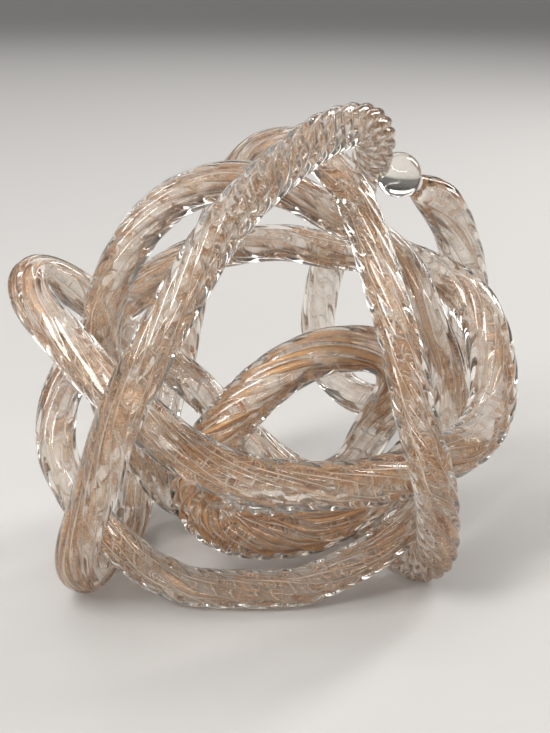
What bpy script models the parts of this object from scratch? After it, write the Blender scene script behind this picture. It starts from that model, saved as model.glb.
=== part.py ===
"""Glass knot sculpture.

One long rope of glass, with flutes that twist round it, is bent hot into an open
knot. It stands on three bends in front and on a run along the floor at the back.
A clear bead closes the last end and is fused to the bend under the crown.

The rope is modelled as the lengths between its bends, one object each, so that
every length is a simple solid. They meet face to face, and their flutes line up.
X runs to the right, Y to the back and Z up. Waypoints are in millimetres.
"""

import math
from collections import namedtuple

import bmesh
import bpy
import numpy as np
from mathutils import Matrix, Vector

MM = 0.001

# Knot
KNOT_WIDTH = 173.3          # left to right over all
UNIT_COUNT_ACROSS = 173.3   # the same, counted in units of the waypoints below

# Rope
ROPE_DIAMETER = 14.5        # over the crests of the flutes, where nothing swells it
FLUTE_COUNT = 9
FLUTE_DEPTH = 1.1
END_ROUNDING = 6.0          # length over which the hidden end closes
NECK_DIAMETER = 8.5         # where the rope is pinched before the bead

# Bead
BEAD_DIAMETER = 16.0
BEAD_COLLAR = 1.2           # straight part between the bead and its neighbours
BEAD_REACH = 6.0            # how far the far collar runs on before it is cut to fit
BEAD_STEPS = 18             # facets round the bead
BEAD_ARC_STEPS = 8          # facets along it, from neck to neck
SEAT_STEPS = 23             # facets along the tube that fits the bead to its seat

# Fits
JOINT_GAP = 0.3             # between the end faces of two lengths
CROSSING_GAP = 0.5          # least clearance where one length passes another
FLOOR_FLAT = 0.8            # depth of the flat on each place that touches the floor
WELD_DISTANCE = 0.01        # points of one surface that are closer than this are joined

# Facets
RING_STEP = 9.0             # distance between rings on a straight run
RING_TURN = math.radians(19)  # most that the rope turns between two rings
SHARP_EDGE = math.radians(50)  # least angle of an edge that is shaded sharp

# Settling of the crossings
SETTLE_STEP = 4.0           # distance between the points that are moved
SETTLE_ROUNDS = 160
SETTLE_EASE = 5             # how many neighbours on each side share a push
SELF_SKIP = 3.0             # rope diameters along the rope that don't push each other

Length = namedtuple("Length", "name swell twist points")


def floor(x, y):
    """A waypoint whose height is found later, from the rope that lies there."""
    return (x, y, math.nan)


# The route, from the hidden end to the bead. Swell is what a length is thicker than
# ROPE_DIAMETER at its middle, as a share of it. Twist is how many times the flutes go
# round in a metre there, and is negative where they turn the other way.
LENGTHS = (
    Length("inner_base_run", 0.17, 7, ((56, 8, 36), (49, 2, 29), (40, -5, 19), (27, -12, 14), (9, -18, 13))),
    Length("inner_base_fan", 0.28, 7, ((-9, -20, 15), (-21, -17, 22), (-23, -16, 36))),
    Length("inner_arch", 0.17, 7, ((-15.5, -18, 50), (-6, -15, 61), (11, -8, 72.5), (28, 0, 75))),
    Length("inner_hook", 0.07, 7, ((44, 5, 70), (48, 10, 54), (42, 12, 38))),
    Length("inner_tuck", -0.03, 7, ((33, 12, 23), (21, 14, 16), (7, 17, 22))),
    Length("inner_diagonal", -0.05, 6, ((-10, 21, 36), (-24, 23, 51), (-43, 26, 66), (-59, 24, 82))),
    Length("left_tip_bend", 0.0, 5, ((-70, 16, 94), (-77, 9, 99), (-79, -2, 99), (-76, -11, 95))),
    Length("belt_left", 0.07, 6, ((-69, -19, 90), (-59, -28, 82), (-43, -42, 72))),
    Length("belt_right", 0.10, 8, ((-27, -50, 61), (-8, -55, 53), (14, -52, 48), (37, -42, 45))),
    Length("right_fan", 0.14, 6, ((59, -28, 46), (73, -18, 51))),
    Length("right_outer_arc", 0.14, 7, ((79, -8, 61), (78, 0, 75), (71, 12, 88))),
    Length("back_rail_right", 0.0, 6, ((58, 28, 95), (43, 42, 98), (25, 50, 99))),
    Length("back_rail_left", -0.07, 6, ((2, 50, 100), (-21, 42, 99), (-38, 24, 94), (-53, 8, 85))),
    Length("left_flank", -0.03, 6, ((-65, 3, 70), (-71, -8, 56), (-70, -18, 43))),
    Length("base_hoop_left", -0.08, 8, ((-63, -24, 30), (-56, -29, 21), (-48.5, -34, 16), (-34, -41, 10))),
    Length("base_hoop_right", -0.10, 9, (floor(-15, -43), floor(5, -43), (25, -39, 10), (44, -33, 20))),
    Length("right_inner_arc", -0.03, 4, ((57, -20, 31), (64, -5, 39), (66, 0, 56), (63, 5, 73), (56, 10, 90))),
    Length("crossover", -0.07, 4, ((47, 15, 103), (33, 20, 113), (17, 20, 122))),
    Length("left_shoulder", -0.03, 8, ((1, 12, 130.5), (-16, 5, 132), (-33.5, -2, 125), (-46, -8, 110))),
    Length("left_drop", -0.10, 8, ((-53.5, -10, 91), (-54, -12, 72), (-51, -8, 52), (-42, 0, 31))),
    Length("rear_base_run", -0.10, 4, ((-31, 10, 12), floor(-19, 21), floor(-6, 28), floor(10, 29),
                                       floor(26, 19), floor(37, -1))),
    Length("right_foot", 0.0, -4, (floor(44, -13), floor(51, -23), (55.5, -31, 10), (57, -38, 18))),
    Length("right_leg", -0.07, -8, ((56.5, -44, 30), (53, -50, 51), (48, -46, 68), (44, -36, 86),
                                    (39, -22, 103), (34, -6, 119))),
    Length("top_arc", -0.10, -8, ((27, 6, 132.5), (15, 14, 141.5), (2, 22, 140.5))),
    Length("back_brace", -0.08, -8, ((-10, 37, 127.5), (-18, 55, 104), (-27, 55, 82), (-32, 50, 59),
                                     (-39, 38, 35))),
    Length("left_foot", -0.03, -5, ((-47, 18, 15), floor(-50, -2), floor(-53, -17), floor(-56, -25.5),
                                    (-59.5, -36.5, 9), (-61, -44.5, 17), (-59.5, -49.5, 26))),
    Length("front_brace", 0.0, -7, ((-56, -53, 37), (-48, -60, 61), (-40, -64, 82), (-31, -60, 99),
                                    (-22, -51, 114), (-10, -37, 130), (5, -22, 142))),
    Length("crown_bend", 0.0, -7, ((21, -8, 151), (34, 5, 151), (38, 20, 141))),
    Length("rear_hoop", -0.03, -7, ((35, 37, 126), (30, 55, 108), (27, 67, 93), (24, 71, 78), (22, 71, 58))),
    Length("rear_hoop_foot", -0.03, -7, ((27, 70, 40), (38, 66, 31), (54, 60, 30), (67, 52, 41.5))),
    Length("tail", 0.10, -8, ((76, 46, 61), (77, 42, 82), (71, 38, 105), (63, 34, 119), (54, 30, 126))),
)
BEAD_SEAT = "rear_hoop"     # the length that the bead is fused to

COPPER_GLASS = (0.78, 0.60, 0.48, 1.0)
CLEAR_GLASS = (0.90, 0.89, 0.86, 1.0)
GLASS_ROUGHNESS = 0.06


def clear_scene():
    for obj in list(bpy.data.objects):
        bpy.data.objects.remove(obj, do_unlink=True)


def new_collection(name, hidden=False):
    collection = bpy.data.collections.new(name)
    bpy.context.scene.collection.children.link(collection)
    collection.hide_render = hidden
    return collection


def glass(name, colour):
    material = bpy.data.materials.new(name)
    material.use_nodes = True
    shader = material.node_tree.nodes["Principled BSDF"]
    shader.inputs["Base Color"].default_value = colour
    shader.inputs["Roughness"].default_value = GLASS_ROUGHNESS
    shader.inputs["Metallic"].default_value = 0.0
    return material


class Spline:
    """Natural cubic curve through points, by distance along their chords."""

    def __init__(self, points):
        self.points = np.asarray(points, dtype=float)
        steps = np.linalg.norm(np.diff(self.points, axis=0), axis=1)
        self.at = np.concatenate(([0.0], np.cumsum(steps)))
        self.bend = self.solve(steps)

    def solve(self, steps):
        """Second derivatives that join neighbouring cubics without a kink."""
        count = len(self.points)
        system = np.eye(count)
        right = np.zeros_like(self.points)
        inner = np.arange(1, count - 1)
        system[inner, inner - 1] = steps[:-1]
        system[inner, inner] = 2 * (steps[:-1] + steps[1:])
        system[inner, inner + 1] = steps[1:]
        slopes = np.diff(self.points, axis=0) / steps[:, None]
        right[inner] = 6 * np.diff(slopes, axis=0)
        return np.linalg.solve(system, right)

    def __call__(self, where):
        where = np.asarray(where, dtype=float)
        low = np.clip(np.searchsorted(self.at, where, side="right") - 1, 0, len(self.at) - 2)
        span = (self.at[low + 1] - self.at[low])[:, None]
        right = ((where - self.at[low])[:, None]) / span
        left = 1 - right
        bends = (left**3 - left) * self.bend[low] + (right**3 - right) * self.bend[low + 1]
        return left * self.points[low] + right * self.points[low + 1] + bends * span**2 / 6


def eased_along(where, starts, total, own):
    """A value along the route: each length's own at its middle, eased between."""
    ends = np.append(starts[1:], total)
    plain = np.interp(where, (starts + ends) / 2, own)
    kernel = np.ones(2 * SETTLE_EASE + 1) / (2 * SETTLE_EASE + 1)
    return np.convolve(np.pad(plain, SETTLE_EASE, mode="edge"), kernel, mode="valid")


def ease(shifts):
    """Spread each shift over its neighbours along the rope."""
    kernel = np.hanning(2 * SETTLE_EASE + 3)[1:-1]
    kernel /= kernel.sum()
    padded = np.pad(shifts, ((SETTLE_EASE, SETTLE_EASE), (0, 0)), mode="edge")
    columns = [np.convolve(padded[:, axis], kernel, mode="valid") for axis in range(3)]
    return np.stack(columns, axis=1)


def settle(points, thickness, grounded):
    """Push crossing runs apart until each clears the other by CROSSING_GAP."""
    index = np.arange(len(points))
    apart = np.abs(index[:, None] - index[None, :]) * SETTLE_STEP
    reach = (thickness[:, None] + thickness[None, :]) / 2 + CROSSING_GAP
    checked = apart > SELF_SKIP * reach
    rest = thickness / 2 - FLOOR_FLAT
    moved = points.copy()
    for _ in range(SETTLE_ROUNDS):
        offsets = moved[:, None, :] - moved[None, :, :]
        distances = np.linalg.norm(offsets, axis=2) + np.eye(len(points))
        overlap = np.where(checked, np.clip(reach - distances, 0, None), 0.0)
        if overlap.max() <= 0:
            break
        pushes = (offsets / distances[:, :, None]) * overlap[:, :, None] / 2
        count = np.maximum(1, (overlap > 0).sum(axis=1))[:, None]
        shift = ease(pushes.sum(axis=1) / np.sqrt(count) * 2)
        shift[:, 2] *= 1 - grounded
        moved += shift
        moved[:, 2] = np.maximum(moved[:, 2], rest)
    return moved


class Route:
    """The settled centre line of the rope, in millimetres."""

    def __init__(self):
        counts = [len(length.points) for length in LENGTHS]
        waypoints = np.array([point for length in LENGTHS for point in length.points], dtype=float)
        waypoints *= KNOT_WIDTH / UNIT_COUNT_ACROSS
        diameters = ROPE_DIAMETER * (1 + np.array([length.swell for length in LENGTHS]))
        on_floor = np.isnan(waypoints[:, 2])
        rest = np.repeat(diameters, counts) / 2 - FLOOR_FLAT
        waypoints[on_floor, 2] = rest[on_floor]
        first = np.concatenate(([0], np.cumsum(counts)[:-1]))

        drawn = Spline(waypoints)
        total = drawn.at[-1]
        where = np.linspace(0, total, int(total / SETTLE_STEP) + 1)
        starts = drawn.at[first]
        thickness = eased_along(where, starts, total, diameters)
        points = drawn(where)
        lowest = thickness / 2 - FLOOR_FLAT
        ramp = np.interp(where, drawn.at, on_floor.astype(float))
        grounded = ramp**2 * (3 - 2 * ramp)
        points[:, 2] += grounded * (lowest - points[:, 2])
        self.line = Spline(settle(points, thickness, grounded))
        self.where = self.line.at
        self.thickness = thickness
        self.starts = np.interp(starts, where, self.where)
        self.total = self.where[-1]
        twist = [length.twist * MM for length in LENGTHS]
        rate = eased_along(self.where, self.starts, self.total, twist)
        steps = np.diff(self.where) * (rate[:-1] + rate[1:]) / 2
        self.turns = np.concatenate(([0.0], np.cumsum(steps)))

    def diameter(self, at):
        """Rope diameter, with the hidden end rounded and the last end pinched."""
        plain = np.interp(at, self.where, self.thickness)
        run_in = np.clip(at / END_ROUNDING, 0.02, 1.0)
        rounding = np.sqrt(1 - (1 - run_in) ** 2)
        left = np.clip((self.total - at) / ROPE_DIAMETER, 0.0, 1.0)
        pinch = np.sin(left * math.pi / 2)
        return (NECK_DIAMETER + (plain - NECK_DIAMETER) * pinch) * rounding

    def half_gap(self, at, way):
        """Half the gap of a joint, along the rope; nothing at the rope's own ends."""
        if at in (0.0, self.total):
            return Vector((0, 0, 0))
        low, high = self.line([at - JOINT_GAP, at + JOINT_GAP])
        return Vector(high - low).normalized() * (way * JOINT_GAP / 2 * MM)

    def rings(self, start, end):
        """Places of the rings of one length, closer together where it bends."""
        fine = np.linspace(start, end, 200)
        path = self.line(fine)
        legs = np.diff(path, axis=0)
        legs /= np.linalg.norm(legs, axis=1)[:, None]
        turn = np.arccos(np.clip((legs[:-1] * legs[1:]).sum(axis=1), -1, 1))
        need = np.diff(fine) / RING_STEP
        need[1:] = np.maximum(need[1:], turn / RING_TURN)
        grown = np.concatenate(([0.0], np.cumsum(need)))
        count = max(2, math.ceil(grown[-1])) + 1
        return np.interp(np.linspace(0, grown[-1], count), grown, fine)


def fluted_outline(collection):
    """Cross-section of the rope, one unit in radius: crests and grooves in turn."""
    depth = FLUTE_DEPTH / (ROPE_DIAMETER / 2)
    curve = bpy.data.curves.new("fluted_outline", "CURVE")
    curve.dimensions = "2D"
    spline = curve.splines.new("POLY")
    count = 2 * FLUTE_COUNT
    spline.points.add(count - 1)
    for step, point in enumerate(spline.points):
        radius = 1.0 if step % 2 == 0 else 1.0 - depth
        angle = 2 * math.pi * step / count
        point.co = (radius * math.cos(angle), radius * math.sin(angle), 0.0, 1.0)
    spline.use_cyclic_u = True
    obj = bpy.data.objects.new("fluted_outline", curve)
    obj.hide_render = True
    obj.display_type = "WIRE"
    collection.objects.link(obj)
    return obj


def swept_mesh(name, places, route, outline, collection):
    """Sweep the fluted outline along the whole rope and return it as one mesh."""
    curve = bpy.data.curves.new(name, "CURVE")
    curve.dimensions = "3D"
    curve.bevel_mode = "OBJECT"
    curve.bevel_object = outline
    curve.use_fill_caps = False
    curve.twist_mode = "MINIMUM"
    spline = curve.splines.new("POLY")
    spline.points.add(len(places) - 1)
    centres = route.line(places) * MM
    radii = route.diameter(places) / 2 * MM
    tilts = 2 * math.pi * np.interp(places, route.where, route.turns)
    for point, centre, radius, tilt in zip(spline.points, centres, radii, tilts):
        point.co = (*centre, 1.0)
        point.radius = radius
        point.tilt = tilt
    obj = bpy.data.objects.new(name, curve)
    collection.objects.link(obj)
    bpy.context.view_layer.update()
    evaluated = obj.evaluated_get(bpy.context.evaluated_depsgraph_get())
    mesh = bpy.data.meshes.new_from_object(evaluated)
    bpy.data.objects.remove(obj, do_unlink=True)
    return mesh


def length_object(name, whole, first, last, gaps, collection):
    """Take rings first to last out of the whole rope and close both end faces.

    Gaps are the shifts of the first and the last ring, which part the end faces
    of neighbouring lengths and keep them parallel."""
    sides = 2 * FLUTE_COUNT
    mesh = bpy.data.meshes.new(name)
    work = bmesh.new()
    work.from_mesh(whole)
    work.verts.ensure_lookup_table()
    for ring, gap in zip((first, last), gaps):
        for vertex in work.verts[ring * sides:(ring + 1) * sides]:
            vertex.co += gap
    outside = work.verts[:first * sides] + work.verts[(last + 1) * sides:]
    bmesh.ops.delete(work, geom=outside, context="VERTS")
    open_edges = [edge for edge in work.edges if edge.is_boundary]
    bmesh.ops.holes_fill(work, edges=open_edges, sides=0)
    bmesh.ops.recalc_face_normals(work, faces=work.faces)
    work.to_mesh(mesh)
    work.free()
    return finish_object(name, mesh, collection, COPPER_GLASS)


def finish_object(name, mesh, collection, colour):
    mesh.materials.clear()
    mesh.materials.append(glass(name + "_glass", colour))
    mesh.shade_smooth()
    mesh.set_sharp_from_angle(angle=SHARP_EDGE)
    obj = bpy.data.objects.new(name, mesh)
    collection.objects.link(obj)
    return obj


def floor_cutter(collection):
    """A slab under the floor, which flattens what the sculpture stands on."""
    bpy.ops.mesh.primitive_cube_add(size=1.0, location=(0, 0, 0))
    slab = bpy.context.object
    slab.name = "floor_slab"
    width, depth = 2 * KNOT_WIDTH * MM, ROPE_DIAMETER * MM
    slab.data.transform(Matrix.Diagonal((width, width, depth, 1.0)))
    slab.data.transform(Matrix.Translation((0, 0, -depth / 2)))
    for owner in list(slab.users_collection):
        owner.objects.unlink(slab)
    collection.objects.link(slab)
    slab.hide_render = True
    slab.display_type = "WIRE"
    return slab


def cut(obj, cutter):
    modifier = obj.modifiers.new("cut", "BOOLEAN")
    modifier.operation = "DIFFERENCE"
    modifier.solver = "EXACT"
    modifier.object = cutter


def round_tube(name, route, start, end, clearance, collection):
    """A plain tube round part of the rope, used to cut what is fused onto it."""
    places = np.linspace(start, end, SEAT_STEPS + 1)
    curve = bpy.data.curves.new(name, "CURVE")
    curve.dimensions = "3D"
    curve.bevel_depth = 1.0
    curve.bevel_resolution = 4
    curve.use_fill_caps = True
    spline = curve.splines.new("POLY")
    spline.points.add(len(places) - 1)
    centres = route.line(places) * MM
    radii = (route.diameter(places) / 2 + clearance) * MM
    for point, centre, radius in zip(spline.points, centres, radii):
        point.co = (*centre, 1.0)
        point.radius = radius
    obj = bpy.data.objects.new(name, curve)
    collection.objects.link(obj)
    bpy.context.view_layer.update()
    evaluated = obj.evaluated_get(bpy.context.evaluated_depsgraph_get())
    mesh = bpy.data.meshes.new_from_object(evaluated)
    work = bmesh.new()
    work.from_mesh(mesh)
    bmesh.ops.remove_doubles(work, verts=work.verts, dist=WELD_DISTANCE * MM)
    bmesh.ops.recalc_face_normals(work, faces=work.faces)
    work.to_mesh(mesh)
    work.free()
    tube = bpy.data.objects.new(name, mesh)
    tube.matrix_world = obj.matrix_world
    bpy.data.objects.remove(obj, do_unlink=True)
    collection.objects.link(tube)
    tube.hide_render = True
    tube.display_type = "WIRE"
    return tube


def bead(route, collection, cutters):
    """Turned bead on the end of the tail, cut to sit on the bend that it is fused to."""
    neck = NECK_DIAMETER / 2
    ball = BEAD_DIAMETER / 2
    half = math.sqrt(ball**2 - neck**2)
    limit = math.asin(neck / ball)
    profile = [(0.0, 0.0), (neck, 0.0), (neck, BEAD_COLLAR)]
    for step in range(1, BEAD_ARC_STEPS):
        angle = limit + (math.pi - 2 * limit) * step / BEAD_ARC_STEPS
        profile.append((ball * math.sin(angle), BEAD_COLLAR + half - ball * math.cos(angle)))
    top = BEAD_COLLAR + 2 * half
    profile += [(neck, top), (neck, top + BEAD_REACH), (0.0, top + BEAD_REACH)]
    mesh = bpy.data.meshes.new("bead")
    points = [(radius * MM, 0.0, height * MM) for radius, height in reversed(profile)]
    mesh.from_pydata(points, [(i, i + 1) for i in range(len(points) - 1)], [])
    turned = bpy.data.objects.new("bead_profile", mesh)
    collection.objects.link(turned)
    screw = turned.modifiers.new("turn", "SCREW")
    screw.axis = "Z"
    screw.steps = BEAD_STEPS
    screw.render_steps = BEAD_STEPS
    screw.use_merge_vertices = True
    screw.merge_threshold = WELD_DISTANCE * MM
    bpy.context.view_layer.update()
    evaluated = turned.evaluated_get(bpy.context.evaluated_depsgraph_get())
    solid = bpy.data.meshes.new_from_object(evaluated)
    bpy.data.objects.remove(turned, do_unlink=True)

    end, before = route.line([route.total, route.total - 0.5])
    direction = Vector(end - before).normalized()
    turn = direction.to_track_quat("Z", "Y").to_matrix().to_4x4()
    start = Vector(end) + direction * JOINT_GAP
    solid.transform(Matrix.Translation(start * MM) @ turn)
    work = bmesh.new()
    work.from_mesh(solid)
    bmesh.ops.recalc_face_normals(work, faces=work.faces)
    work.to_mesh(solid)
    work.free()
    obj = finish_object("bead", solid, collection, CLEAR_GLASS)

    names = [length.name for length in LENGTHS]
    seat = names.index(BEAD_SEAT)
    first, last = route.starts[seat - 1], route.starts[seat + 1]
    seat_tube = round_tube("bead_seat", route, first, last, JOINT_GAP, cutters)
    cut(obj, seat_tube)
    return obj


def centre_on_origin(parts, frame):
    """Stand the knot on the origin: middle of its box in X and Y, floor at zero."""
    bpy.context.view_layer.update()
    depsgraph = bpy.context.evaluated_depsgraph_get()
    corners = []
    for obj in parts:
        mesh = obj.evaluated_get(depsgraph).data
        places = np.empty(3 * len(mesh.vertices))
        mesh.vertices.foreach_get("co", places)
        places = places.reshape(-1, 3)
        corners += [places.min(axis=0), places.max(axis=0)]
    corners = np.array(corners)
    middle = (corners.min(axis=0) + corners.max(axis=0)) / 2
    frame.location = (-middle[0], -middle[1], 0.0)


def build():
    clear_scene()
    parts = new_collection("glass_knot_sculpture")
    cutters = new_collection("cutters", hidden=True)
    frame = bpy.data.objects.new("knot_frame", None)
    parts.objects.link(frame)

    route = Route()
    ends = np.append(route.starts[1:], route.total)
    places = [0.0]
    spans = []
    for start, end in zip(route.starts, ends):
        rings = route.rings(start, end)[1:]
        spans.append((len(places) - 1, len(places) - 1 + len(rings)))
        places.extend(rings)
    outline = fluted_outline(cutters)
    whole = swept_mesh("whole_rope", np.array(places), route, outline, cutters)

    built = []
    slab = floor_cutter(cutters)
    for length, (first, last) in zip(LENGTHS, spans):
        gaps = (route.half_gap(places[first], 1), route.half_gap(places[last], -1))
        obj = length_object(length.name, whole, first, last, gaps, parts)
        if min(vertex.co.z for vertex in obj.data.vertices) < 0:
            cut(obj, slab)
        built.append(obj)
    built.append(bead(route, parts, cutters))
    bpy.data.meshes.remove(whole)

    for obj in built + list(cutters.objects):
        obj.parent = frame
    centre_on_origin(built, frame)
    bpy.context.view_layer.update()


build()
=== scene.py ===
"""Looks of the glass knot sculpture: a fluted rope of clear glass round a core of copper
flecks, bent into an open knot and closed by a clear bead.

It is laid out as a Blender add-on, with one operator for each piece and one for the
stage, and is run as a script. Waypoints are in millimetres; meshes are in metres.
"""

import math
from collections import namedtuple

import bpy
import numpy as np
from bpy.props import FloatProperty, FloatVectorProperty, IntProperty, PointerProperty
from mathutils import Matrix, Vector


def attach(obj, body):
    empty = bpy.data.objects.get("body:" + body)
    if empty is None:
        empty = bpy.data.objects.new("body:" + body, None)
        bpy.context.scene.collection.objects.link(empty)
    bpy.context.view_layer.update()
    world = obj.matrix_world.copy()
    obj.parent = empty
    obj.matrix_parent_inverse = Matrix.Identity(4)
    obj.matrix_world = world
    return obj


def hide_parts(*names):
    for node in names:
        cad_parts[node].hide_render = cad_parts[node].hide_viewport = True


bl_info = {
    "name": "Glass knot sculpture",
    "version": (1, 0, 0),
    "blender": (4, 5, 0),
    "location": "3D View > Sidebar > Glass knot",
    "description": "Builds a fluted glass rope knot with a copper-flecked core",
    "category": "Add Mesh",
}

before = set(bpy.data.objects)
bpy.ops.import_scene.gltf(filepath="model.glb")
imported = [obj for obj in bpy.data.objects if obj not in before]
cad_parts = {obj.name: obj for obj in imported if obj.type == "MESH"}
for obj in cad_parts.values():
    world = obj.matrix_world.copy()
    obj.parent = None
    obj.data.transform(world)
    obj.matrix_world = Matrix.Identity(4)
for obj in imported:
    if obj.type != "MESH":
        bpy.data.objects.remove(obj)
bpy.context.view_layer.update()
MM = 0.001

Length = namedtuple("Length", "name swell twist points")


def floor(x, y):
    """A waypoint whose height is found later, from the rope that lies there."""
    return (x, y, math.nan)


# The route of the rope as the part has it, from the hidden end to the bead. Swell is
# what a length is thicker than the rope at its middle, as a share of its diameter. Twist
# is how many times the flutes go round in a metre, negative where they turn back. Four
# fanned bends, inner_base_fan, right_fan, right_foot and crown_bend, turn faster here
# than in the part.
LENGTHS = (
    Length("inner_base_run", 0.17, 7, ((56, 8, 36), (49, 2, 29), (40, -5, 19), (27, -12, 14), (9, -18, 13))),
    Length("inner_base_fan", 0.28, 26, ((-9, -20, 15), (-21, -17, 22), (-23, -16, 36))),
    Length("inner_arch", 0.17, 7, ((-15.5, -18, 50), (-6, -15, 61), (11, -8, 72.5), (28, 0, 75))),
    Length("inner_hook", 0.07, 7, ((44, 5, 70), (48, 10, 54), (42, 12, 38))),
    Length("inner_tuck", -0.03, 7, ((33, 12, 23), (21, 14, 16), (7, 17, 22))),
    Length("inner_diagonal", -0.05, 6, ((-10, 21, 36), (-24, 23, 51), (-43, 26, 66), (-59, 24, 82))),
    Length("left_tip_bend", 0.0, 5, ((-70, 16, 94), (-77, 9, 99), (-79, -2, 99), (-76, -11, 95))),
    Length("belt_left", 0.07, 6, ((-69, -19, 90), (-59, -28, 82), (-43, -42, 72))),
    Length("belt_right", 0.10, 8, ((-27, -50, 61), (-8, -55, 53), (14, -52, 48), (37, -42, 45))),
    Length("right_fan", 0.14, 11, ((59, -28, 46), (73, -18, 51))),
    Length("right_outer_arc", 0.14, 7, ((79, -8, 61), (78, 0, 75), (71, 12, 88))),
    Length("back_rail_right", 0.0, 6, ((58, 28, 95), (43, 42, 98), (25, 50, 99))),
    Length("back_rail_left", -0.07, 6, ((2, 50, 100), (-21, 42, 99), (-38, 24, 94), (-53, 8, 85))),
    Length("left_flank", -0.03, 6, ((-65, 3, 70), (-71, -8, 56), (-70, -18, 43))),
    Length("base_hoop_left", -0.08, 8, ((-63, -24, 30), (-56, -29, 21), (-48.5, -34, 16), (-34, -41, 10))),
    Length("base_hoop_right", -0.10, 9, (floor(-15, -43), floor(5, -43), (25, -39, 10), (44, -33, 20))),
    Length("right_inner_arc", -0.03, 4, ((57, -20, 31), (64, -5, 39), (66, 0, 56), (63, 5, 73),
                                         (56, 10, 90))),
    Length("crossover", -0.07, 4, ((47, 15, 103), (33, 20, 113), (17, 20, 122))),
    Length("left_shoulder", -0.03, 8, ((1, 12, 130.5), (-16, 5, 132), (-33.5, -2, 125), (-46, -8, 110))),
    Length("left_drop", -0.10, 8, ((-53.5, -10, 91), (-54, -12, 72), (-51, -8, 52), (-42, 0, 31))),
    Length("rear_base_run", -0.10, 4, ((-31, 10, 12), floor(-19, 21), floor(-6, 28), floor(10, 29),
                                       floor(26, 19), floor(37, -1))),
    Length("right_foot", 0.0, -14, (floor(44, -13), floor(51, -23), (55.5, -31, 10), (57, -38, 18))),
    Length("right_leg", -0.07, -8, ((56.5, -44, 30), (53, -50, 51), (48, -46, 68), (44, -36, 86),
                                    (39, -22, 103), (34, -6, 119))),
    Length("top_arc", -0.10, -8, ((27, 6, 132.5), (15, 14, 141.5), (2, 22, 140.5))),
    Length("back_brace", -0.08, -8, ((-10, 37, 127.5), (-18, 55, 104), (-27, 55, 82), (-32, 50, 59),
                                     (-39, 38, 35))),
    Length("left_foot", -0.03, -5, ((-47, 18, 15), floor(-50, -2), floor(-53, -17), floor(-56, -25.5),
                                    (-59.5, -36.5, 9), (-61, -44.5, 17), (-59.5, -49.5, 26))),
    Length("front_brace", 0.0, -7, ((-56, -53, 37), (-48, -60, 61), (-40, -64, 82), (-31, -60, 99),
                                    (-22, -51, 114), (-10, -37, 130), (5, -22, 142))),
    Length("crown_bend", 0.0, -15, ((21, -8, 151), (34, 5, 151), (38, 20, 141))),
    Length("rear_hoop", -0.03, -7, ((35, 37, 126), (30, 55, 108), (27, 67, 93), (24, 71, 78), (22, 71, 58))),
    Length("rear_hoop_foot", -0.03, -7, ((27, 70, 40), (38, 66, 31), (54, 60, 30), (67, 52, 41.5))),
    Length("tail", 0.10, -8, ((76, 46, 61), (77, 42, 82), (71, 38, 105), (63, 34, 119), (54, 30, 126))),
)

# Sizes in millimetres. The core fades in after the hidden end and out before the last one,
# between the two distances from that end
CROSSING_GAP = 0.5
FLOOR_FLAT = 0.8
SETTLE_STEP = 4.0
END_ROUNDING = 6.0
TIP_STEP = 0.5
BEAD_COLLAR = 1.5
BEAD_REACH = 3.2
CORE_END = 2.0
CORE_CLOSING = 4.0
CORE_FADE_IN = (8.0, 24.0)
CORE_FADE_OUT = (3.0, 12.0)
CASING_LOWEST = 0.1
CORE_LOWEST = 0.5

# How the crossing runs are pushed apart: rounds, steps eased on each side of a push, and how
# many rope thicknesses along the rope two places must be apart to be checked
SETTLE_ROUNDS = 160
SETTLE_EASE = 5
SELF_SKIP = 3.0

# The rounded tip of the hidden end: its rings, and the angle of the first in radians
TIP_RINGS = 12
TIP_ANGLE = 0.02

# How the flutes stand out: turns in a metre that raise them fully, their share of the depth
# with no turn at all, and what a swelling takes away
FAST_TWIST = 15.0
PLAIN_RELIEF = 0.32
SWOLLEN_FLATTENING = 2.2

# The depth of the core's flutes and the size of its closed tips, as shares of its radius
CORE_FLUTING = 0.16
CORE_TIP = 0.05

# Where the vertices lie across one flute, as shares of its width from groove to groove
CASING_ACROSS = (0.0, 0.06, 0.20, 0.35, 0.50, 0.65, 0.80, 0.94)
CORE_ACROSS = (0.0, 0.10, 0.30, 0.50, 0.70, 0.90)

# How far each pattern in the glass is drawn out, twice across the rope and once along it,
# and the size of the cells that hold one speck each, in millimetres
GLASS_WAVES = (4.0, 4.0, 22.0)
COPPER_LINES = (1.5, 1.5, 90.0)
COPPER_CLOUDS = (6.0, 6.0, 20.0)
# Painted shade: dark lines through the core's haze
PAINTED_SHADE_LINES = (1.2, 1.2, 80.0)
# Patches of the painted highlight: pale lines under the grooves
PAINTED_HIGHLIGHT_PATCHES = (6.0, 6.0, 40.0)
GLITTER_CELL = 0.30
FLAKE_CELL = 0.70
WAVE_HEIGHT = 0.4
WAVE_STRENGTH = 0.14


class Spline:
    """Natural cubic curve through points, by distance along their chords."""

    def __init__(self, points):
        self.points = np.asarray(points, dtype=float)
        steps = np.linalg.norm(np.diff(self.points, axis=0), axis=1)
        self.at = np.concatenate(([0.0], np.cumsum(steps)))
        count = len(self.points)
        system = np.eye(count)
        right = np.zeros_like(self.points)
        inner = np.arange(1, count - 1)
        system[inner, inner - 1] = steps[:-1]
        system[inner, inner] = 2 * (steps[:-1] + steps[1:])
        system[inner, inner + 1] = steps[1:]
        right[inner] = 6 * np.diff(np.diff(self.points, axis=0) / steps[:, None], axis=0)
        self.bend = np.linalg.solve(system, right)

    def __call__(self, where):
        where = np.asarray(where, dtype=float)
        low = np.clip(np.searchsorted(self.at, where, side="right") - 1, 0, len(self.at) - 2)
        span = (self.at[low + 1] - self.at[low])[:, None]
        right = (where - self.at[low])[:, None] / span
        left = 1 - right
        bends = (left**3 - left) * self.bend[low] + (right**3 - right) * self.bend[low + 1]
        return left * self.points[low] + right * self.points[low + 1] + bends * span**2 / 6


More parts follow.
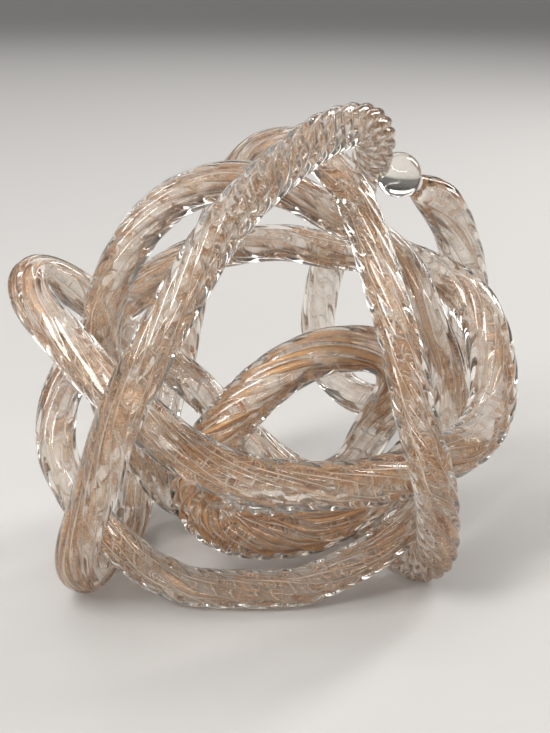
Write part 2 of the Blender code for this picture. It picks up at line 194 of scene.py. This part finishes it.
class Route:
    """The settled centre line of the rope and its thickness, in millimetres."""

    def __init__(self, rope):
        counts = [len(length.points) for length in LENGTHS]
        waypoints = np.array([point for length in LENGTHS for point in length.points], dtype=float)
        own = rope.diameter / MM * (1 + np.array([length.swell for length in LENGTHS]))
        on_floor = np.isnan(waypoints[:, 2])
        waypoints[on_floor, 2] = (np.repeat(own, counts) / 2 - FLOOR_FLAT)[on_floor]
        drawn = Spline(waypoints)
        total = drawn.at[-1]
        where = np.linspace(0, total, int(total / SETTLE_STEP) + 1)
        starts = drawn.at[np.concatenate(([0], np.cumsum(counts)[:-1]))]
        self.thickness = self.eased(where, starts, total, own)
        points = drawn(where)
        ramp = np.interp(where, drawn.at, on_floor.astype(float))
        grounded = ramp**2 * (3 - 2 * ramp)
        points[:, 2] += grounded * (self.thickness / 2 - FLOOR_FLAT - points[:, 2])
        self.line = Spline(self.settle(points, grounded))
        self.total = self.line.at[-1]
        self.starts = np.interp(starts, where, self.line.at)
        self.start_of = dict(zip([length.name for length in LENGTHS], self.starts))
        twist = [length.twist * MM for length in LENGTHS]
        self.rate = self.eased(self.line.at, self.starts, self.total, twist)
        steps = np.diff(self.line.at) * (self.rate[:-1] + self.rate[1:]) / 2
        self.turns = np.concatenate(([0.0], np.cumsum(steps)))

    def eased(self, where, starts, total, own):
        """A value along the route: each length's own at its middle, eased between."""
        plain = np.interp(where, (starts + np.append(starts[1:], total)) / 2, own)
        box = np.ones(2 * SETTLE_EASE + 1) / (2 * SETTLE_EASE + 1)
        return np.convolve(np.pad(plain, SETTLE_EASE, mode="edge"), box, mode="valid")

    def settle(self, points, grounded):
        """Push crossing runs apart until each clears the other by CROSSING_GAP."""
        index = np.arange(len(points))
        apart = np.abs(index[:, None] - index[None, :]) * SETTLE_STEP
        reach = (self.thickness[:, None] + self.thickness[None, :]) / 2 + CROSSING_GAP
        checked = apart > SELF_SKIP * reach
        kernel = np.hanning(2 * SETTLE_EASE + 3)[1:-1]
        kernel /= kernel.sum()
        moved = points.copy()
        for _ in range(SETTLE_ROUNDS):
            offsets = moved[:, None, :] - moved[None, :, :]
            distances = np.linalg.norm(offsets, axis=2) + np.eye(len(points))
            overlap = np.where(checked, np.clip(reach - distances, 0, None), 0.0)
            if overlap.max() <= 0:
                break
            pushes = (offsets / distances[:, :, None]) * overlap[:, :, None] / 2
            count = np.maximum(1, (overlap > 0).sum(axis=1))[:, None]
            shift = np.pad(pushes.sum(axis=1) / np.sqrt(count) * 2,
                           ((SETTLE_EASE, SETTLE_EASE), (0, 0)), mode="edge")
            shift = np.stack([np.convolve(column, kernel, mode="valid") for column in shift.T], axis=1)
            shift[:, 2] *= 1 - grounded
            moved += shift
            moved[:, 2] = np.maximum(moved[:, 2], self.thickness / 2 - FLOOR_FLAT)
        return moved

    def diameter(self, at):
        return np.interp(at, self.line.at, self.thickness)

    def twist(self, at):
        return 2 * math.pi * np.interp(at, self.line.at, self.turns)

    def relief(self, at, plain):
        """How far the flutes stand out, as a share of their depth: 1 where they turn fast and
        less on the plain runs, and shallow where the rope is swollen past its plain diameter."""
        fast = np.abs(np.interp(at, self.line.at, self.rate)) / (FAST_TWIST * MM)
        raised = PLAIN_RELIEF + (1 - PLAIN_RELIEF) * np.clip(fast, 0, 1) ** 2
        swollen = np.clip(self.diameter(at) / plain - 1, 0, None)
        return raised * (1 - SWOLLEN_FLATTENING * swollen)


def transport(tangents):
    """Unit vectors across a path, carried along it so that they never spin round it."""
    across = np.empty_like(tangents)
    side = np.cross(tangents[0], (0.0, 0.0, 1.0))
    across[0] = side / np.linalg.norm(side)
    for ring in range(1, len(tangents)):
        side = across[ring - 1] - tangents[ring] * (across[ring - 1] @ tangents[ring])
        across[ring] = side / np.linalg.norm(side)
    return across


def lobes(angle, count):
    """Height of a flute across the rope, 1 on its crest and 0 in the sharp groove between
    two: the absolute value of the sine of half the count times the angle."""
    return np.abs(np.sin(count * angle / 2))


class Strand:
    """A fluted, twisted strand on the rope's route.

    Its surface is a function of the distance s along the route and the angle a round it:
    centre(s) + radius(s) * (1 - depth(s) * (1 - lobes(a))) * (cos(a + twist(s)) * across(s)
    + sin(a + twist(s)) * up(s)), where twist is the sum of the turns so far, and across and
    up are carried along the centre line without spin."""

    def __init__(self, centres, along, radii, depths, twist, flutes, across_flute):
        tangents = np.gradient(centres, axis=0)
        tangents /= np.linalg.norm(tangents, axis=1)[:, None]
        across = transport(tangents)
        up = np.cross(tangents, across)
        angle = (np.arange(flutes)[:, None] + np.array(across_flute)).ravel() * 2 * math.pi / flutes
        turned = angle[None, :] + twist[:, None]
        height = 1 - depths[:, None] * (1 - lobes(angle, flutes))[None, :]
        reach = (radii[:, None] * height)[:, :, None]
        ways = np.cos(turned)[:, :, None] * across[:, None, :] + np.sin(turned)[:, :, None] * up[:, None, :]
        self.places = centres[:, None, :] + reach * ways
        self.straight = np.stack(np.broadcast_arrays(
            radii[:, None] * np.cos(angle), radii[:, None] * np.sin(angle), along[:, None]), axis=2)
        self.crest = np.tile(lobes(angle, flutes), len(along))
        self.ends = centres[0], centres[-1]
        self.end_straight = np.array([(0, 0, along[0]), (0, 0, along[-1])])

    def piece(self, name, shift, lowest):
        """A closed mesh: the grid with its first and last sides joined round the rope, and a fan on each
        end.
        """
        rings, sides = self.places.shape[:2]
        grid = np.arange(rings * sides).reshape(rings, sides)
        beside = np.roll(grid, -1, axis=1)
        quads = np.stack([grid[:-1], beside[:-1], beside[1:], grid[1:]], axis=2).reshape(-1, 4)
        first, last = rings * sides, rings * sides + 1
        front = np.stack([beside[0], grid[0], np.full(sides, first)], axis=1)
        back = np.stack([grid[-1], beside[-1], np.full(sides, last)], axis=1)
        points = np.concatenate([self.places.reshape(-1, 3), np.array(self.ends)]) + shift
        points[:, 2] = np.maximum(points[:, 2], lowest)
        mesh = bpy.data.meshes.new(name)
        mesh.vertices.add(len(points))
        mesh.vertices.foreach_set("co", (points * MM).ravel())
        loops = np.concatenate([quads.ravel(), front.ravel(), back.ravel()])
        starts = np.concatenate([np.arange(len(quads)) * 4, len(quads) * 4 + np.arange(2 * sides) * 3])
        mesh.loops.add(len(loops))
        mesh.loops.foreach_set("vertex_index", loops.astype(np.int32))
        mesh.polygons.add(len(starts))
        mesh.polygons.foreach_set("loop_start", starts.astype(np.int32))
        mesh.update(calc_edges=True)
        mesh.validate()
        mesh.shade_smooth()
        straight = np.concatenate([self.straight.reshape(-1, 3), self.end_straight])
        layer = mesh.attributes.new("straight", "FLOAT_VECTOR", "POINT")
        layer.data.foreach_set("vector", straight.ravel())
        layer = mesh.attributes.new("crest", "FLOAT", "POINT")
        layer.data.foreach_set("value", np.append(self.crest, (1.0, 1.0)))
        obj = bpy.data.objects.new(name, mesh)
        bpy.context.scene.collection.objects.link(obj)
        return obj


def rope_line(rope):
    """Centres and radii of the glass, from the hidden end to the far side of the bead.

    Past the last end the line runs straight on: a neck, a ball and a short collar, whose
    radius is that of a circle about the ball's centre where this is wider than the neck."""
    route = Route(rope)
    end, before = route.line([route.total, route.total - TIP_STEP])
    direction = (end - before) / np.linalg.norm(end - before)
    neck, ball = rope.neck_diameter / 2 / MM, rope.bead_diameter / 2 / MM
    half = math.sqrt(ball**2 - neck**2)
    beyond = BEAD_COLLAR + 2 * half + BEAD_REACH
    rounded = END_ROUNDING * (1 - np.cos(np.linspace(TIP_ANGLE, math.pi / 2, TIP_RINGS)))
    along = np.concatenate([rounded, np.linspace(END_ROUNDING, route.total + beyond, rope.rings)[1:]])
    inside = np.minimum(along, route.total)
    past = np.clip(along - route.total, 0, None)
    centres = route.line(inside) + past[:, None] * direction
    run_in = np.clip(along / END_ROUNDING, 0, 1)
    rounding = np.sqrt(1 - (1 - run_in) ** 2)
    left = np.clip((route.total - along) / (rope.diameter / MM), 0, 1)
    pinch = np.sin(left * math.pi / 2)
    radii = (neck + (route.diameter(inside) / 2 - neck) * pinch) * rounding
    from_centre = past - BEAD_COLLAR - half
    sphere = np.sqrt(np.clip(ball**2 - from_centre**2, 0, None))
    radii = np.where(past > 0, np.maximum(neck, sphere), radii)
    return route, along, centres, radii, pinch


def middle_shift(places):
    """What brings the middle of the knot's box to the origin, in X and Y, as the part has it."""
    flat = places.reshape(-1, 3)
    middle = (flat.min(axis=0) + flat.max(axis=0)) / 2
    return np.array([-middle[0], -middle[1], 0.0])


class Field:
    """A number that varies over a surface. Arithmetic on it adds Math nodes."""

    def __init__(self, finish, socket):
        self.finish = finish
        self.socket = socket

    def math(self, operation, *values):
        node = self.finish.node("ShaderNodeMath", {"operation": operation}, dict(enumerate(values)))
        return Field(self.finish, node.outputs[0])

    def __add__(self, other):
        return self.math("ADD", self, other)

    def __sub__(self, other):
        return self.math("SUBTRACT", self, other)

    def __mul__(self, other):
        return self.math("MULTIPLY", self, other)

    def __radd__(self, other):
        return self.math("ADD", other, self)

    def __rsub__(self, other):
        return self.math("SUBTRACT", other, self)

    def __rmul__(self, other):
        return self.math("MULTIPLY", other, self)

    def step(self, low, high):
        """0 below low, 1 above high and a smooth rise between."""
        node = self.finish.node("ShaderNodeMapRange", {"interpolation_type": "SMOOTHSTEP"},
                                {"Value": self, "From Min": low, "From Max": high})
        return Field(self.finish, node.outputs["Result"])

    def limited(self):
        return self.math("MINIMUM", self.math("MAXIMUM", self, 0.0), 1.0)


def opaque(colour):
    return (*colour, 1.0)


class Finish:
    """A material with one Principled shader, and the nodes that feed it."""

    def __init__(self, name):
        self.material = bpy.data.materials.new(name)
        self.material.use_nodes = True
        self.tree = self.material.node_tree
        self.shader = self.tree.nodes["Principled BSDF"]

    def node(self, kind, settings, values):
        node = self.tree.nodes.new(kind)
        for name, value in settings.items():
            setattr(node, name, value)
        for key, value in values.items():
            self.feed(node.inputs[key], value)
        return node

    def feed(self, socket, value):
        if isinstance(value, Field):
            value = value.socket
        if isinstance(value, bpy.types.NodeSocket):
            self.tree.links.new(value, socket)
        else:
            socket.default_value = value

    def shade(self, **values):
        for name, value in values.items():
            self.feed(self.shader.inputs[name.replace("_", " ")], value)

    def straight(self, stretch):
        """Place on the rope as if it lay straight, in millimetres, divided by stretch."""
        attribute = self.node("ShaderNodeAttribute", {"attribute_name": "straight"}, {})
        scaled = self.node("ShaderNodeVectorMath", {"operation": "DIVIDE"},
                           {0: attribute.outputs["Vector"], 1: stretch})
        return scaled.outputs["Vector"]

    def crest(self):
        """1 along the crest of each flute and 0 in the grooves."""
        return Field(self, self.node("ShaderNodeAttribute", {"attribute_name": "crest"}, {}).outputs["Fac"])

    def noise(self, stretch, detail):
        """Soft noise drawn out by stretch, with that many finer layers on it."""
        node = self.node("ShaderNodeTexNoise", {"noise_dimensions": "3D"},
                         {"Vector": self.straight(stretch), "Scale": 1.0, "Detail": detail})
        return Field(self, node.outputs["Fac"])

    def specks(self, cell, reach, cover):
        """Round specks, one to a cell of that size in millimetres where a cell's own random
        number is below cover. Each reaches that share of a cell. Gives where they are and a
        random tone for each."""
        node = self.node("ShaderNodeTexVoronoi", {}, {"Vector": self.straight((cell,) * 3), "Scale": 1.0})
        number = self.node("ShaderNodeSeparateColor", {}, {0: node.outputs["Color"]})
        near = (reach - Field(self, node.outputs["Distance"])).step(0.0, 0.12)
        held = (cover - Field(self, number.outputs["Red"])).step(0.0, 0.05)
        return near * held, Field(self, number.outputs["Green"])

    def mix(self, factor, first, second):
        """The first colour where the factor is 0 and the second where it is 1."""
        node = self.node("ShaderNodeMix", {"data_type": "RGBA"}, {0: factor, 6: first, 7: second})
        return node.outputs[2]

    def bump(self, height, distance, strength):
        node = self.node("ShaderNodeBump", {}, {"Height": height, "Distance": distance,
                                                "Strength": strength})
        return node.outputs["Normal"]


def casing_glass(glass):
    """Clear glass whose hot-worked surface has slow waves along the flutes."""
    finish = Finish("casing_glass")
    waves = finish.noise(GLASS_WAVES, detail=0.0)
    finish.shade(Base_Color=opaque(glass.tint), Roughness=glass.roughness, IOR=glass.ior,
                 Transmission_Weight=1.0, Normal=finish.bump(waves, WAVE_HEIGHT * MM, WAVE_STRENGTH))
    return finish.material


def copper_share(along, route):
    """How much copper the core holds along the rope: half as much from the front brace on,
    nearly all again in the tail, and none at the two ends."""
    start_of = route.start_of
    share = 1 - 0.5 * along.step(start_of["front_brace"], start_of["crown_bend"])
    share = share + 0.4 * along.step(start_of["rear_hoop_foot"], start_of["tail"])
    gone, full = CORE_FADE_OUT
    return share * along.step(*CORE_FADE_IN) * (1 - along.step(route.total - full, route.total - gone))


def flecked_copper(flecks, route):
    """Long lines of copper haze on the ribs, with painted shade darker on their flanks and in dark
    lines through the haze. Painted highlight lines, pale, lie under the grooves, with glitter in
    the haze and clear glass between. The haze is thickest and amber in the first lengths, up to
    the hook. A step gives where a pattern begins and where it is full; the shares that weigh the patterns
    are given."""
    finish = Finish("flecked_copper")
    place = finish.node("ShaderNodeSeparateXYZ", {}, {0: finish.straight((1.0, 1.0, 1.0))})
    along = Field(finish, place.outputs["Z"])
    crest = finish.crest()
    share = copper_share(along, route)
    rich = 1 - along.step(route.start_of["inner_hook"], route.start_of["inner_tuck"])

    lines = finish.noise(COPPER_LINES, detail=1.0).step(0.36, 0.66)
    clouds = finish.noise(COPPER_CLOUDS, detail=1.0).step(0.34, 0.66)
    rib = crest.step(0.15, 0.80)
    dense = (0.35 + 0.65 * lines) * (0.30 + 0.70 * clouds) * (0.40 + 0.60 * rib)
    # Painted shade on the flanks of each rib, between groove and crest
    shaded_flank = crest.step(0.15, 0.40) * (1 - crest.step(0.50, 0.85))
    # Painted shade: the flanks and long dark lines, where the haze turns dark
    painted_shade = (0.70 * shaded_flank + finish.noise(PAINTED_SHADE_LINES, detail=1.0).step(0.55, 0.70)).limited()
    groove = 1 - crest.step(0.04, 0.30)
    # Painted highlight: pale lines in the core under the grooves, in patches
    seam = groove * finish.noise(PAINTED_HIGHLIGHT_PATCHES, detail=0.0).step(0.20, 0.42)
    glitter, glitter_tone = finish.specks(GLITTER_CELL, reach=0.42, cover=0.60 * dense * share)
    flake, flake_tone = finish.specks(FLAKE_CELL, reach=0.30, cover=0.32 * dense * share)
    fleck = (glitter + flake).limited()

    haze = finish.mix(rich, opaque(flecks.haze), opaque(flecks.amber))
    # Painted shade darkens the haze on the flanks and in the dark lines
    haze = finish.mix(painted_shade, haze, opaque(flecks.painted_shade))
    # Painted highlight lines turn the haze pale under the grooves
    haze = finish.mix(seam, haze, opaque(flecks.seam))
    tone = glitter_tone * (1 - flake) + flake_tone * flake
    metal = finish.mix(tone, opaque(flecks.copper), opaque(flecks.gold))
    veil = (flecks.veil * dense * share * (1.0 + 0.8 * rich) * (0.8 + 0.3 * painted_shade)).limited()
    # The painted highlight lines cover the core more where it holds copper
    pale = 0.8 * seam * share
    cover = (veil + pale * (1 - veil)).limited()
    finish.shade(Base_Color=finish.mix(fleck, haze, metal), Metallic=0.5 * fleck,
                 Roughness=0.45 - 0.15 * fleck, Alpha=(cover + fleck * (1 - cover)).limited())
    return finish.material


class RopeSettings(bpy.types.PropertyGroup):
    """Sizes of the rope and its bead."""

    diameter: FloatProperty(name="Diameter", description="Rope thickness over its flutes", default=0.0145,
                            min=0.005, max=0.03, subtype="DISTANCE", unit="LENGTH")
    flutes: IntProperty(name="Flutes", description="Number of flutes round the rope", default=9, min=5,
                        max=14)
    flute_depth: FloatProperty(name="Flute depth", description="Depth of the grooves in fast turns",
                               default=0.0011, min=0.0, max=0.003, subtype="DISTANCE", unit="LENGTH")
    neck_diameter: FloatProperty(name="Neck", description="Thickness of the necks beside the bead",
                                 default=0.0085, min=0.004, max=0.014, subtype="DISTANCE", unit="LENGTH")
    bead_diameter: FloatProperty(name="Bead", description="Diameter of the clear bead", default=0.016,
                                 min=0.01, max=0.03, subtype="DISTANCE", unit="LENGTH")
    rings: IntProperty(name="Rings", description="Rings of vertices along the rope", default=1280, min=400,
                       max=1370)


class GlassSettings(bpy.types.PropertyGroup):
    """Finish of the clear casing."""

    tint: FloatVectorProperty(name="Tint", description="Colour of the clear glass", subtype="COLOR",
                              default=(0.985, 0.95, 0.89), min=0.0, max=1.0)
    roughness: FloatProperty(name="Roughness", description="Haze of the surface", default=0.02, min=0.0,
                             max=1.0, subtype="FACTOR")
    ior: FloatProperty(name="Refractive index", description="How strongly the glass bends light",
                       default=1.5, min=1.3, max=1.8)


class FleckSettings(bpy.types.PropertyGroup):
    """Size and colours of the flecked core."""

    share: FloatProperty(name="Core share", description="Core radius as a share of the rope's", default=0.58,
                         min=0.3, max=0.8, subtype="FACTOR")
    copper: FloatVectorProperty(name="Copper", description="Darker flecks", subtype="COLOR",
                                default=(0.86, 0.48, 0.29), min=0.0, max=1.0)
    gold: FloatVectorProperty(name="Gold", description="Lighter flecks", subtype="COLOR",
                              default=(1.0, 0.88, 0.64), min=0.0, max=1.0)
    haze: FloatVectorProperty(name="Haze", description="Tint of the glass round the flecks", subtype="COLOR",
                              default=(0.86, 0.53, 0.30), min=0.0, max=1.0)
    amber: FloatVectorProperty(name="Amber haze", description="Tint between the flecks in the first lengths",
                               subtype="COLOR", default=(1.0, 0.58, 0.27), min=0.0, max=1.0)
    # Colour of the painted highlight lines under the grooves
    seam: FloatVectorProperty(name="Painted highlight lines", description="Pale lines under the grooves",
                              subtype="COLOR", default=(1.0, 0.90, 0.79), min=0.0, max=1.0)
    # Colour of the painted shade on the rib flanks and in dark lines
    painted_shade: FloatVectorProperty(name="Painted shade lines", description="Darker lines in the haze", subtype="COLOR",
                              default=(0.38, 0.16, 0.07), min=0.0, max=1.0)
    veil: FloatProperty(name="Veil", description="How dense the tint between the flecks is", default=0.85,
                        min=0.0, max=1.0, subtype="FACTOR")


class StageSettings(bpy.types.PropertyGroup):
    """Floor, lights and camera."""

    floor_colour: FloatVectorProperty(name="Floor", description="Colour of the floor", subtype="COLOR",
                                      default=(0.55, 0.53, 0.505), min=0.0, max=1.0)
    key_power: FloatProperty(name="Key light", description="Power of the largest soft light", default=19.5,
                             min=0.0, unit="POWER")
    sky: FloatProperty(name="Sky", description="Strength of the even light all round", default=0.2, min=0.0)
    distance: FloatProperty(name="Distance", description="From the camera to the knot", default=0.42,
                            min=0.2, subtype="DISTANCE", unit="LENGTH")
    elevation: FloatProperty(name="Elevation", description="Height of the camera above the horizon",
                             default=math.radians(20), subtype="ANGLE", unit="ROTATION")


class KNOT_OT_glass_rope(bpy.types.Operator):
    """Build the clear fluted rope with its bead, as one closed surface"""

    bl_idname = "knot.glass_rope"
    bl_label = "Glass rope"

    def execute(self, context):
        rope = context.scene.knot_rope
        route, along, centres, radii, pinch = rope_line(rope)
        depths = rope.flute_depth / MM / np.maximum(radii, 1.0) * pinch
        depths = depths * route.relief(along, rope.diameter / MM)
        casing = Strand(centres, along, radii, depths, route.twist(along), rope.flutes, CASING_ACROSS)
        piece = casing.piece("glass_rope", middle_shift(casing.places), CASING_LOWEST)
        piece.data.materials.append(casing_glass(context.scene.knot_glass))
        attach(piece, "root")
        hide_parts(*[length.name for length in LENGTHS], "bead")
        return {"FINISHED"}


class KNOT_OT_copper_core(bpy.types.Operator):
    """Build the core of copper flecks inside the rope"""

    bl_idname = "knot.copper_core"
    bl_label = "Copper core"

    def execute(self, context):
        rope, flecks = context.scene.knot_rope, context.scene.knot_flecks
        route, along, centres, radii, _ = rope_line(rope)
        outside = Strand(centres, along, radii, np.zeros_like(radii), route.twist(along), rope.flutes,
                         CASING_ACROSS)
        held = (along > END_ROUNDING) & (along < route.total - CORE_END)
        along, centres, radii = along[held], centres[held], radii[held] * flecks.share
        closing = np.clip((along - along[0]) / CORE_CLOSING, 0, 1)
        closing = closing * np.clip((along[-1] - along) / CORE_CLOSING, 0, 1)
        radii = radii * np.maximum(CORE_TIP, np.sqrt(1 - (1 - closing) ** 2))
        core = Strand(centres, along, radii, np.full_like(radii, CORE_FLUTING), route.twist(along),
                      rope.flutes, CORE_ACROSS)
        piece = core.piece("copper_core", middle_shift(outside.places), CORE_LOWEST)
        piece.data.materials.append(flecked_copper(flecks, route))
        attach(piece, "root")
        return {"FINISHED"}


class KNOT_OT_stage(bpy.types.Operator):
    """Lay the pale floor, and set the soft lights and the camera"""

    bl_idname = "knot.stage"
    bl_label = "Floor, lights and camera"

    TARGET = Vector((0.0, 0.0, 0.072))
    SENSOR_HEIGHT = 36.0        # millimetres
    PIXELS_PER_RADIAN = 1201.0  # the photograph's scale
    ROWS = 733.0                # the photograph's height in pixels
    OFF_CENTRE = (-9.5, 13.0)   # pixels right and up, from the frame's middle to the target
    SKY_COLOUR = (0.93, 0.96, 1.0)
    LIGHTS = (
        # name, place, width and height in metres, share of the key light's power
        ("key_light", (-0.7, 0.3, 2.2), (2.2, 2.2), 1.0),
        ("window_light", (-0.65, -0.5, 1.0), (0.25, 1.0), 0.65),
        ("rim_light", (0.85, 0.7, 0.8), (0.25, 0.9), 0.50),
        ("back_light", (-0.1, 1.6, 0.95), (1.8, 0.35), 0.25),
        ("front_light", (0.25, -1.2, 0.75), (1.4, 0.07), 0.21),
    )
    FLOOR_HUB = 0.02            # radius of the face in the floor's middle, in metres
    FLOOR_REACH = 2.4
    FLOOR_SIDES = 96
    COVE_RADIUS = 1.4
    COVE_STEPS = 16
    COVE_SHADE = 0.45           # colour at the cove's top, as a share of the floor's

    def lay_floor(self, stage):
        """A round floor with a coved edge, its profile turned about the upright axis: a straight
        line out to FLOOR_REACH, then a quarter circle up. Its colour darkens up the cove."""
        rise = np.linspace(0, math.pi / 2, self.COVE_STEPS)
        reach = np.append(self.FLOOR_HUB, self.FLOOR_REACH + self.COVE_RADIUS * np.sin(rise))
        height = np.append(0.0, self.COVE_RADIUS * (1 - np.cos(rise)))
        turn = np.arange(self.FLOOR_SIDES) * 2 * math.pi / self.FLOOR_SIDES
        points = np.stack(np.broadcast_arrays(reach[:, None] * np.cos(turn), reach[:, None] * np.sin(turn),
                                              height[:, None]), axis=2).reshape(-1, 3)
        grid = np.arange(len(points)).reshape(len(reach), len(turn))
        beside = np.roll(grid, -1, axis=1)
        quads = np.stack([grid[:-1], grid[1:], beside[1:], beside[:-1]], axis=2).reshape(-1, 4)
        mesh = bpy.data.meshes.new("floor")
        mesh.from_pydata(points.tolist(), [], [*quads.tolist(), grid[0].tolist()])
        mesh.shade_smooth()
        piece = bpy.data.objects.new("floor", mesh)
        bpy.context.scene.collection.objects.link(piece)
        finish = Finish("floor_finish")
        place = finish.node("ShaderNodeTexCoord", {}, {}).outputs["Object"]
        up = Field(finish, finish.node("ShaderNodeSeparateXYZ", {}, {0: place}).outputs["Z"])
        shade = [self.COVE_SHADE * channel for channel in stage.floor_colour]
        colour = finish.mix(up.step(0.0, self.COVE_RADIUS), opaque(stage.floor_colour), opaque(shade))
        finish.shade(Base_Color=colour, Roughness=0.7)
        mesh.materials.append(finish.material)

    def hang_lights(self, stage):
        """Soft rectangles of light round the knot, each turned to it, and an even sky."""
        for name, place, size, share in self.LIGHTS:
            light = bpy.data.lights.new(name, "AREA")
            light.shape = "RECTANGLE"
            light.size, light.size_y = size
            light.energy = stage.key_power * share
            lamp = bpy.data.objects.new(name, light)
            lamp.location = place
            lamp.rotation_mode = "QUATERNION"
            lamp.rotation_quaternion = (self.TARGET - lamp.location).to_track_quat("-Z", "Y")
            bpy.context.scene.collection.objects.link(lamp)
        world = bpy.data.worlds.new("studio")
        world.use_nodes = True
        background = world.node_tree.nodes["Background"]
        background.inputs["Color"].default_value = opaque(self.SKY_COLOUR)
        background.inputs["Strength"].default_value = stage.sky
        bpy.context.scene.world = world
        bpy.context.scene.view_settings.view_transform = "Standard"

    def set_camera(self, stage):
        """The photograph's viewing angle and framing."""
        data = bpy.data.cameras.new("camera")
        data.sensor_fit = "VERTICAL"
        data.sensor_width = data.sensor_height = self.SENSOR_HEIGHT
        data.lens = self.PIXELS_PER_RADIAN / self.ROWS * self.SENSOR_HEIGHT
        data.shift_x = -self.OFF_CENTRE[0] / self.ROWS
        data.shift_y = -self.OFF_CENTRE[1] / self.ROWS
        camera = bpy.data.objects.new("camera", data)
        back = Vector((0, -math.cos(stage.elevation), math.sin(stage.elevation)))
        camera.location = self.TARGET + back * stage.distance
        camera.rotation_mode = "QUATERNION"
        camera.rotation_quaternion = (-back).to_track_quat("-Z", "Y")
        bpy.context.scene.collection.objects.link(camera)
        bpy.context.scene.camera = camera

    def execute(self, context):
        stage = context.scene.knot_stage
        self.lay_floor(stage)
        self.hang_lights(stage)
        self.set_camera(stage)
        return {"FINISHED"}


class KNOT_PT_sidebar(bpy.types.Panel):
    """Settings and pieces of the glass knot"""

    bl_label = "Glass knot"
    bl_space_type = "VIEW_3D"
    bl_region_type = "UI"
    bl_category = "Glass knot"

    def draw(self, context):
        for group in SETTINGS:
            box = self.layout.box()
            box.label(text=group.__doc__)
            settings = getattr(context.scene, SETTINGS[group])
            for name in group.__annotations__:
                box.prop(settings, name)
        for operator in OPERATORS:
            self.layout.operator(operator.bl_idname)


SETTINGS = {RopeSettings: "knot_rope", GlassSettings: "knot_glass", FleckSettings: "knot_flecks",
            StageSettings: "knot_stage"}
OPERATORS = (KNOT_OT_glass_rope, KNOT_OT_copper_core, KNOT_OT_stage)


def register():
    for group, name in SETTINGS.items():
        bpy.utils.register_class(group)
        setattr(bpy.types.Scene, name, PointerProperty(type=group))
    for part in (*OPERATORS, KNOT_PT_sidebar):
        bpy.utils.register_class(part)


def unregister():
    for part in (KNOT_PT_sidebar, *reversed(OPERATORS)):
        bpy.utils.unregister_class(part)
    for group, name in reversed(SETTINGS.items()):
        delattr(bpy.types.Scene, name)
        bpy.utils.unregister_class(group)


def main():
    register()
    bpy.ops.knot.glass_rope()
    bpy.ops.knot.copper_core()
    bpy.ops.knot.stage()


if __name__ == "__main__":
    main()
